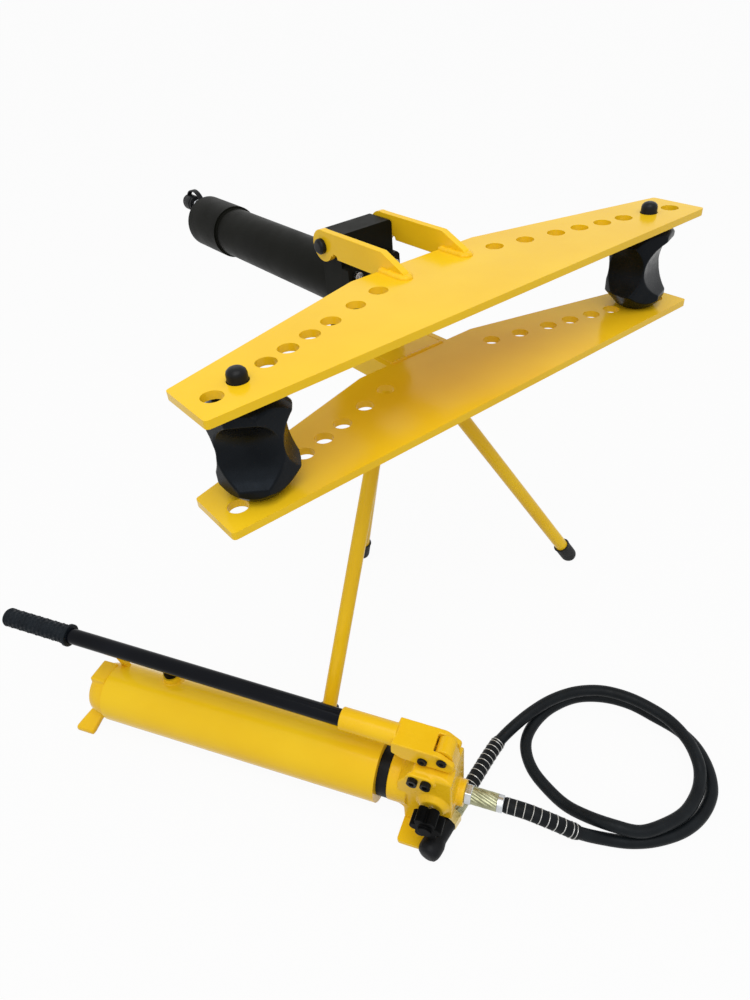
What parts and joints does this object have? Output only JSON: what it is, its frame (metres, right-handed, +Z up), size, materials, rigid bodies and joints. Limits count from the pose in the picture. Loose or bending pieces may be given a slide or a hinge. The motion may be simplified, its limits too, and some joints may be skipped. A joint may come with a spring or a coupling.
{
  "type": "hydraulic pipe bender",
  "caption": "Open-wing hydraulic pipe bender on a tripod with a ram, swivelling shoes and a flip-up upper plate, and a separate lever hand pump with its pressure hose.",
  "frame": {"origin": "on the floor under the middle of the bender and the pump seen from above, the hose left out", "axes": "+X along the wing plates to the right, +Y from the plates back along the cylinder, +Z up"},
  "size_m": [1.0631, 1.2677, 0.7055],
  "materials": {
    "yellow_paint": "smooth glossy enamel",
    "black_paint": "satin black enamel",
    "black_casting": "black coated casting",
    "rubber": "matt moulded rubber",
    "zinc": "zinc plated",
    "brass": "dull passivated crimp sleeve",
    "steel": "ground steel",
    "bronze": "plain bearing bronze",
    "black_plastic": "moulded plastic"
  },
  "bodies": {
    "frame": {"lower_wing_plate": "yellow_paint", "lower_hinge_arms": "yellow_paint", "bridge_plate": "yellow_paint", "leg_sockets": "yellow_paint", "leg_left": "yellow_paint", "leg_right": "yellow_paint", "leg_rear": "yellow_paint", "leg_feet": "rubber", "cylinder_block": "black_paint", "lower_arm_bolts": "black_paint", "upper_arm_bolts": "black_paint", "gland_flange": "black_paint", "flange_screws": "steel", "cylinder_barrel": "black_paint", "rear_collar": "black_paint", "guide_bush": "bronze", "rod_wiper": "rubber", "return_spring": "steel", "coupler_nipple": "zinc", "coupler_cap": "rubber", "coupler_strap": "rubber"},
    "upper_plate": {"upper_wing_plate": "yellow_paint", "upper_hinge_arms": "yellow_paint"},
    "ram": {"ram_rod": "steel", "ram_nose": "black_paint", "ram_piston": "steel", "piston_seal": "rubber"},
    "left_shoe": {"shoe_left": "black_casting", "shoe_pin_left": "black_casting"},
    "right_shoe": {"shoe_right": "black_casting", "shoe_pin_right": "black_casting"},
    "pump": {"reservoir_tube": "yellow_paint", "reservoir_end_cap": "yellow_paint", "tank_gasket": "rubber", "tie_rod": "steel", "suction_strainer": "brass", "pump_head": "yellow_paint", "base_plate": "yellow_paint", "valve_plugs": "black_paint", "plunger_gland": "steel", "handle_rest": "yellow_paint", "hose_nipple": "zinc", "hose_ferrule_pump": "brass", "hose_guard_pump": "rubber", "hose": "rubber", "hose_guard_free": "rubber", "hose_ferrule_free": "brass", "hose_coupler": "zinc", "hose_cap": "rubber"},
    "filler": {"filler_cap": "black_plastic"},
    "release": {"release_knob": "black_plastic", "release_stem": "steel"},
    "lever": {"lever_beam": "yellow_paint", "lever_pins": "black_paint", "handle_tube": "black_paint", "handle_grip": "rubber"},
    "plunger": {"pump_plunger": "steel"}
  },
  "joints": [
    {"name": "upper_plate_hinge", "type": "hinge", "parent": "frame", "child": "upper_plate", "pos_m": [0.11876, -0.02434, 0.683], "axis": [-1, 0, 0], "range_deg": [0, 100]},
    {"name": "ram_slide", "type": "slide", "parent": "frame", "child": "ram", "axis": [0, -1, 0], "range_m": [0, 0.23], "stiffness_N_per_m": 1500, "springref_m": -0.04, "deforming": ["return_spring"]},
    {"name": "left_shoe_turn", "type": "hinge", "parent": "frame", "child": "left_shoe", "pos_m": [-0.2294, -0.28044, 0.605], "axis": [0, 0, 1], "continuous": true},
    {"name": "right_shoe_turn", "type": "hinge", "parent": "frame", "child": "right_shoe", "pos_m": [0.46692, -0.28044, 0.605], "axis": [0, 0, 1], "continuous": true},
    {"name": "pump_place", "type": "slide", "parent": "frame", "child": "pump", "axis": [0, -1, 0], "range_m": [0, 0.3]},
    {"name": "filler_turn", "type": "hinge", "parent": "pump", "child": "filler", "pos_m": [-0.35258, -0.07187, 0.115], "axis": [0, 0, 1], "range_deg": [0, 1080]},
    {"name": "release_turn", "type": "hinge", "parent": "pump", "child": "release", "pos_m": [-0.18046, -0.4981, 0.065], "axis": [-0.8572, -0.515, 0], "range_deg": [0, 540]},
    {"name": "lever_pivot", "type": "hinge", "parent": "pump", "child": "lever", "pos_m": [-0.13246, -0.48092, 0.154], "axis": [0.8572, 0.515, 0], "range_deg": [0, 45]},
    {"name": "plunger_slide", "type": "slide", "parent": "pump", "child": "plunger", "axis": [0, 0, 1], "range_m": [0, 0.0225]}
  ],
  "couplings": [
    {"joint": "plunger_slide", "follows": "lever_pivot", "m_per_rad": 0.027665}
  ]
}
